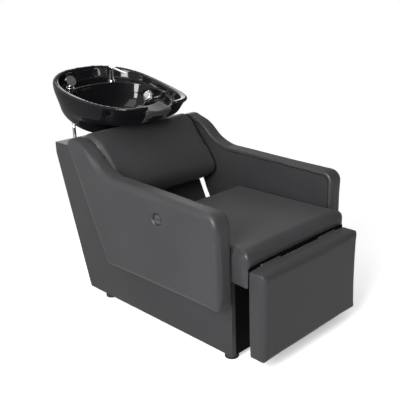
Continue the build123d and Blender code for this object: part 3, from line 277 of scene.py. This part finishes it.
# %% Leatherette
pebble_scale = 520
pebble_depth = 0.0005
pebble_wobble = 0.004


def leatherette(name, color, rough=0.40, grain=0.35):
    mat = finish(name, color, rough, drift=0.10, drift_scale=3.5, sheen=0.06, specular=0.45)
    tree = mat.node_tree
    shader = tree.nodes["Principled BSDF"]
    place = new_node(tree, "ShaderNodeTexCoord")
    wobble = new_node(tree, "ShaderNodeTexNoise")
    wobble.inputs["Scale"].default_value = 180
    tree.links.new(place.outputs["Object"], wobble.inputs["Vector"])
    mix = new_node(tree, "ShaderNodeVectorMath", operation="MULTIPLY_ADD")
    mix.inputs[1].default_value = (pebble_wobble,) * 3
    tree.links.new(wobble.outputs["Color"], mix.inputs[0])
    tree.links.new(place.outputs["Object"], mix.inputs[2])
    cells = new_node(tree, "ShaderNodeTexVoronoi")
    cells.feature = "SMOOTH_F1"
    cells.inputs["Scale"].default_value = pebble_scale
    tree.links.new(mix.outputs[0], cells.inputs["Vector"])
    lift = new_node(tree, "ShaderNodeBump")
    lift.inputs["Strength"].default_value = grain
    lift.inputs["Distance"].default_value = pebble_depth
    tree.links.new(cells.outputs["Distance"], lift.inputs["Height"])
    tree.links.new(lift.outputs[0], shader.inputs["Normal"])
    return mat


cover = leatherette("black_leatherette", (0.030, 0.030, 0.032))
panel_cover = leatherette("panel_leatherette", (0.026, 0.026, 0.028), rough=0.46)
# The front panel and seat frame get a near-black cloth. Part of its darkness is painted shade: it stands in
# for the shadow under the seat and behind the leg rest.
dust_cloth_and_painted_shade = finish("black_dust_cloth", (0.003, 0.003, 0.003), 0.9, bump=0.4, bump_scale=900, specular=0.08)
glaze = finish("black_glaze", (0.004, 0.004, 0.005), 0.07, drift=0.2, rough_drift=0.03, specular=0.38)
chrome = finish("chrome_plate", (0.93, 0.94, 0.95), 0.10, metallic=1.0, drift=0.04, rough_drift=0.03)
steel = finish("brushed_steel", (0.55, 0.55, 0.56), 0.3, metallic=1.0, drift=0.08, bump=0.2, bump_scale=900)
black_paint = finish("black_powder_coat", (0.018, 0.018, 0.019), 0.5, bump=0.3, bump_scale=700)
rubber = finish("black_rubber", (0.014, 0.014, 0.014), 0.75, bump=0.3, bump_scale=400)
gel = finish("grey_neck_gel", (0.030, 0.030, 0.032), 0.42, bump=0.1, bump_scale=200, sheen=0.1)
plastic = finish("black_plastic", (0.015, 0.015, 0.017), 0.34, bump=0.15, bump_scale=800)
key_plastic = finish("grey_key_plastic", (0.05, 0.05, 0.055), 0.3, bump=0.1, bump_scale=800)
pipe_plastic = finish("grey_pipe_plastic", (0.22, 0.22, 0.23), 0.45, bump=0.1, bump_scale=300)
ply = finish("birch_ply", (0.42, 0.30, 0.18), 0.6, drift=0.25, drift_scale=18, bump=0.2, bump_scale=160)
print("finishes:", len(bpy.data.materials))

# %% Finishes on the rigid pieces
finishes = {
    panel_cover: ["base_side_left", "base_side_right", "shell_wall", "rear_panel", "shell_top",
                  "leg_board", "back_board"],
    cover: ["arm_board_left", "arm_board_right"],
    # Painted shade: the near-black cloth darkens the front panel and seat frame as if they lay in shadow.
    dust_cloth_and_painted_shade: ["front_panel", "seat_frame"],
    ply: ["base_floor"],
    glaze: ["basin_bowl"],
    gel: ["neck_rest"],
    chrome: ["hand_shower", "waste_flange", "overflow_cover", "mixer_body", "mixer_lever",
             "shower_holder", "shower_face", "shower_hose"],
    steel: ["supply_hose_left", "supply_hose_right", "hinge_fixed_left", "hinge_fixed_right",
            "hinge_moving_left", "hinge_moving_right", "hinge_pin_left", "hinge_pin_right",
            "lift_rear_pin", "lift_front_pin", "lift_rod", "strainer", "tilt_axle", "axle_nut"],
    black_paint: ["lift_rail", "lift_lever", "tilt_bracket", "tilt_pedestal"],
    plastic: ["lift_body", "power_inlet", "switch_bezel", "switch_cup", "waste_tail"],
    key_plastic: ["button_up", "button_down"],
    pipe_plastic: ["drain_hose", "drain_outlet"],
    rubber: ["basin_stop", "foot_front_left", "foot_front_right", "foot_rear_left", "foot_rear_right"],
}
for mat, names in finishes.items():
    for name in names:
        nodes[name].data.materials.clear()
        nodes[name].data.materials.append(mat)
print("dressed", sum(len(n) for n in finishes.values()), "rigid pieces")

# %% [markdown]
# Foam under a stretched cover bulges between its edges. Each pad starts as a copy of its solid,
# drawn in a little, and cloth simulation with inner pressure blows it up. A cap limits how far a
# point may move. The smoothing then draws the pad in again, so it is stretched to its solid's box
# plus a margin. The margin also moves the recesses, so a pad can cut a little into what it holds.

# %% Inflate a pad
weld_distance = 0.00005


def copy_solid(node, name):
    source = nodes[node]
    mesh = source.data.copy()
    obj = bpy.data.objects.new(name, mesh)
    scene.collection.objects.link(obj)
    work = bmesh.new()
    work.from_mesh(mesh)
    bmesh.ops.remove_doubles(work, verts=work.verts, dist=weld_distance)
    bmesh.ops.recalc_face_normals(work, faces=work.faces)
    work.to_mesh(mesh)
    work.free()
    return obj


def apply_modifiers(obj):
    graph = bpy.context.evaluated_depsgraph_get()
    result = bpy.data.meshes.new_from_object(obj.evaluated_get(graph))
    obj.modifiers.clear()
    old = obj.data
    obj.data = result
    bpy.data.meshes.remove(old)
    return obj


def dress(obj, mat):
    """One finish and smooth shading on the whole piece."""
    obj.data.polygons.foreach_set("use_smooth", [True] * len(obj.data.polygons))
    obj.data.materials.clear()
    obj.data.materials.append(mat)


def fill_box(mesh, box, grow):
    """Stretch the mesh to a box, plus a margin on every side."""
    low = [min(v.co[i] for v in mesh.vertices) for i in range(3)]
    high = [max(v.co[i] for v in mesh.vertices) for i in range(3)]
    for vert in mesh.vertices:
        for i in range(3):
            share = (vert.co[i] - low[i]) / (high[i] - low[i])
            vert.co[i] = box[0][i] - grow + share * (box[1][i] - box[0][i] + 2 * grow)


pad_voxel = 0.005
pad_pressure = 4.0
pad_steps = 12


def inflate(node, name, draw_in, cap, soften, grow):
    pad = copy_solid(node, name)
    remesh = pad.modifiers.new("skin", "REMESH")
    remesh.mode = "VOXEL"
    remesh.voxel_size = pad_voxel
    apply_modifiers(pad)
    mesh = pad.data
    normals = [v.normal.copy() for v in mesh.vertices]
    for vert, normal in zip(mesh.vertices, normals):
        vert.co -= normal * draw_in
    rest = [v.co.copy() for v in mesh.vertices]
    cloth = pad.modifiers.new("cover", "CLOTH")
    settings = cloth.settings
    settings.quality = 5
    settings.mass = 0.4
    settings.tension_stiffness = 18
    settings.compression_stiffness = 18
    settings.bending_stiffness = 2.0
    settings.use_pressure = True
    settings.uniform_pressure_force = pad_pressure
    settings.effector_weights.gravity = 0
    for step in range(1, pad_steps + 1):
        scene.frame_set(step)
    graph = bpy.context.evaluated_depsgraph_get()
    blown = pad.evaluated_get(graph).to_mesh()
    moved = [v.co.copy() for v in blown.vertices]
    pad.evaluated_get(graph).to_mesh_clear()
    pad.modifiers.clear()
    scene.frame_set(1)
    for vert, start, end in zip(mesh.vertices, rest, moved):
        shift = end - start
        if shift.length > cap:
            shift *= cap / shift.length
        vert.co = start + shift
    smooth = pad.modifiers.new("soften", "SMOOTH")
    smooth.iterations = soften
    smooth.factor = 0.5
    apply_modifiers(pad)
    fill_box(pad.data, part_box(node), grow)
    dress(pad, cover)
    return pad


body_of = {}
for body, members in frame["record"]["behaviour"]["bodies"].items():
    for member in members:
        body_of[member] = body

# Node, name, drawn in, most a point may move, smoothing rounds, margin past the solid's box.
pad_plan = [
    ("arm_pad_left", "left_arm_cover", 0.001, 0.002, 1, 0.004),
    ("arm_pad_right", "right_arm_cover", 0.001, 0.002, 1, 0.004),
    ("seat_cushion", "seat_cover", 0.003, 0.005, 3, 0.001),
    ("back_cushion", "back_cover", 0.004, 0.005, 8, 0.001),
    ("leg_cushion", "leg_rest_cover", 0.001, 0.002, 1, 0.004),
]
for node, name, draw_in, cap, soften, grow in pad_plan:
    pad = inflate(node, name, draw_in, cap, soften, grow)
    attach(pad, body_of[node])
    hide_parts(node)
    print(name, len(pad.data.polygons), "faces")

# %% [markdown]
# Glaze runs before it sets, so a fired basin has no sharp edge: the step from the deck into the
# well is a soft round that catches a bright line. The solid has that step sharp. A fine voxel
# skin over a copy of it, smoothed a little, rounds every edge at once, as glaze does. Smoothing
# also shrinks the bowl, so the sides are pushed out again, by up to glaze_build. That is thicker
# than real glaze: it brings the outline nearer the photo.

# %% Glazed basin
def read_points(mesh):
    """Point positions and normals of a mesh, as two arrays."""
    points = np.empty(len(mesh.vertices) * 3)
    normals = np.empty(len(mesh.vertices) * 3)
    mesh.vertices.foreach_get("co", points)
    mesh.vertices.foreach_get("normal", normals)
    return points.reshape(-1, 3), normals.reshape(-1, 3)


def skin_over(node, name, voxel, rounds):
    """A smoothed voxel skin over a copy of a solid."""
    obj = copy_solid(node, name)
    skin = obj.modifiers.new("skin", "REMESH")
    skin.mode = "VOXEL"
    skin.voxel_size = voxel
    relax = obj.modifiers.new("soften", "SMOOTH")
    relax.iterations = rounds
    relax.factor = 0.5
    return apply_modifiers(obj)


glaze_build = 0.006
basin_skin = skin_over("basin_bowl", "glazed_basin", voxel=0.0036, rounds=7)
bowl_low, bowl_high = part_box("basin_bowl")
bowl_mid = (bowl_low + bowl_high) / 2
points, normals = read_points(basin_skin.data)
outward = points - np.array([0.0, bowl_mid.y, 0.0])
outward[:, 2] = 0.0
outward /= np.linalg.norm(outward, axis=1, keepdims=True)
share = np.clip((normals * outward).sum(axis=1), 0.0, 1.0)
points += normals * glaze_build * share[:, None]
points = np.minimum(points, np.array([1.0, bowl_high.y, bowl_high.z]))
basin_skin.data.vertices.foreach_set("co", points.ravel())
dress(basin_skin, glaze)
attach(basin_skin, "basin")
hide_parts("basin_bowl")
print("glazed basin", len(basin_skin.data.polygons), "faces")

# %% [markdown]
# The neck rest is a cast gel pad that drapes over the front rim. It is softer than any other
# piece, so its corners are rounder than the solid's. The same skin and smoothing do it, and the
# pad is made a little narrower than its solid.

# %% Neck gel
gel_build = 0.0015
neck_width_share = 0.92
neck_gel = skin_over("neck_rest", "neck_gel", voxel=0.0028, rounds=8)
points, normals = read_points(neck_gel.data)
points += normals * gel_build
points[:, 0] *= neck_width_share
neck_gel.data.vertices.foreach_set("co", points.ravel())
dress(neck_gel, gel)
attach(neck_gel, "basin")
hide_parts("neck_rest")
print("neck gel", len(neck_gel.data.polygons), "faces")

# %% [markdown]
# Screws and nozzles repeat one small shape, so one node tree makes them all. On the real bed the
# hinge screws are pressed steel and the nozzles are moulded silicone that can be rubbed clean.
# The tree puts a stub on every point it is given. Its inputs set the stub's size and its turn.

# %% Stubs by Geometry Nodes
def stub_tree(name, material):
    """A node tree that stands a tapered stub on each point of the mesh it gets."""
    tree = bpy.data.node_groups.new(name, "GeometryNodeTree")
    face = tree.interface
    for label, kind in (("Places", "Geometry"), ("Foot radius", "Float"), ("Tip radius", "Float"),
                        ("Height", "Float"), ("Sides", "Int"), ("Turn", "Vector")):
        face.new_socket(label, in_out="INPUT", socket_type="NodeSocket" + kind)
    face.new_socket("Stubs", in_out="OUTPUT", socket_type="NodeSocketGeometry")
    given = new_node(tree, "NodeGroupInput")
    stub = new_node(tree, "GeometryNodeMeshCone")
    for wanted, socket in (("Foot radius", "Radius Bottom"), ("Tip radius", "Radius Top"),
                           ("Height", "Depth"), ("Sides", "Vertices")):
        tree.links.new(given.outputs[wanted], stub.inputs[socket])
    spread = new_node(tree, "GeometryNodeInstanceOnPoints")
    tree.links.new(given.outputs["Places"], spread.inputs["Points"])
    tree.links.new(stub.outputs["Mesh"], spread.inputs["Instance"])
    tree.links.new(given.outputs["Turn"], spread.inputs["Rotation"])
    solid = new_node(tree, "GeometryNodeRealizeInstances")
    tree.links.new(spread.outputs[0], solid.inputs[0])
    paint = new_node(tree, "GeometryNodeSetMaterial")
    paint.inputs["Material"].default_value = material
    tree.links.new(solid.outputs[0], paint.inputs["Geometry"])
    result = new_node(tree, "NodeGroupOutput")
    tree.links.new(paint.outputs[0], result.inputs["Stubs"])
    return tree


def stubs(name, body, places, tree, **sizes):
    """Stubs at these places, as one mesh that rides the body."""
    mesh = bpy.data.meshes.new(name)
    mesh.from_pydata([tuple(place) for place in places], [], [])
    obj = bpy.data.objects.new(name, mesh)
    scene.collection.objects.link(obj)
    maker = obj.modifiers.new("stubs", "NODES")
    maker.node_group = tree
    for socket in tree.interface.items_tree:
        key = socket.name.lower().replace(" ", "_")
        if socket.in_out == "INPUT" and key in sizes:
            maker[socket.identifier] = sizes[key]
    apply_modifiers(obj)
    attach(obj, body)
    print(name, len(places), "stubs,", len(obj.data.polygons), "faces")
    return obj


screw_tree = stub_tree("hinge_screws", steel)
nozzle_tree = stub_tree("silicone_nozzles", rubber)

# %% [markdown]
# Each hinge leaf is held by small flat screws. The two leaves close on each other with a
# millimetre between them, so the heads are thin and the two rows are staggered.

# %% Hinge screws
screw_row_height = 0.0135
screw_shape = {"foot_radius": 0.0034, "tip_radius": 0.0028, "height": 0.0004, "sides": 20}
screw_spots = {"fixed": (0.15, 0.50, 0.85), "moving": (0.32, 0.68)}
leaf_faces = {
    "fixed": ("cabinet", -0.5925, math.pi / 2),
    "moving": ("leg_rest", -0.5935, -math.pi / 2),
}
for kind, (body, face_y, turn) in leaf_faces.items():
    places = []
    for side in ("left", "right"):
        low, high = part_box(f"hinge_{kind}_{side}")
        for share in screw_spots[kind]:
            places.append((low.x + share * (high.x - low.x), face_y, low.z + screw_row_height))
    screws = stubs(f"{body}_hinge_screws", body, places, screw_tree, turn=(turn, 0, 0), **screw_shape)

# %% [markdown]
# The shower face carries three rings of nozzles. The solid has a shallow socket for each one,
# and the rings here use the same radii and counts, so every nozzle fills its socket.

# %% Shower nozzles
rim_tilt_deg = 11.9
head_lean_deg = 52
nozzle_rings = ((0.005, 6), (0.010, 12), (0.015, 18))
head_tilt = math.radians(head_lean_deg + rim_tilt_deg)
face_low, face_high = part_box("shower_face")
face_mid = (face_low + face_high) / 2
face_out = Vector((0, -math.sin(head_tilt), math.cos(head_tilt)))
face_up = Vector((0, math.cos(head_tilt), math.sin(head_tilt)))
face_half = 0.0015
nozzle_sink = 0.0010
places = []
for ring, count in nozzle_rings:
    for step in range(count):
        angle = step * 2 * math.pi / count
        flat = Vector((math.cos(angle) * ring, 0, 0)) + face_up * (math.sin(angle) * ring)
        places.append(face_mid + flat + face_out * (face_half - nozzle_sink))
nozzles = stubs("shower_nozzles", "shower", places, nozzle_tree, turn=(head_tilt, 0, 0),
                foot_radius=0.0009, tip_radius=0.0006, height=0.0019, sides=10)
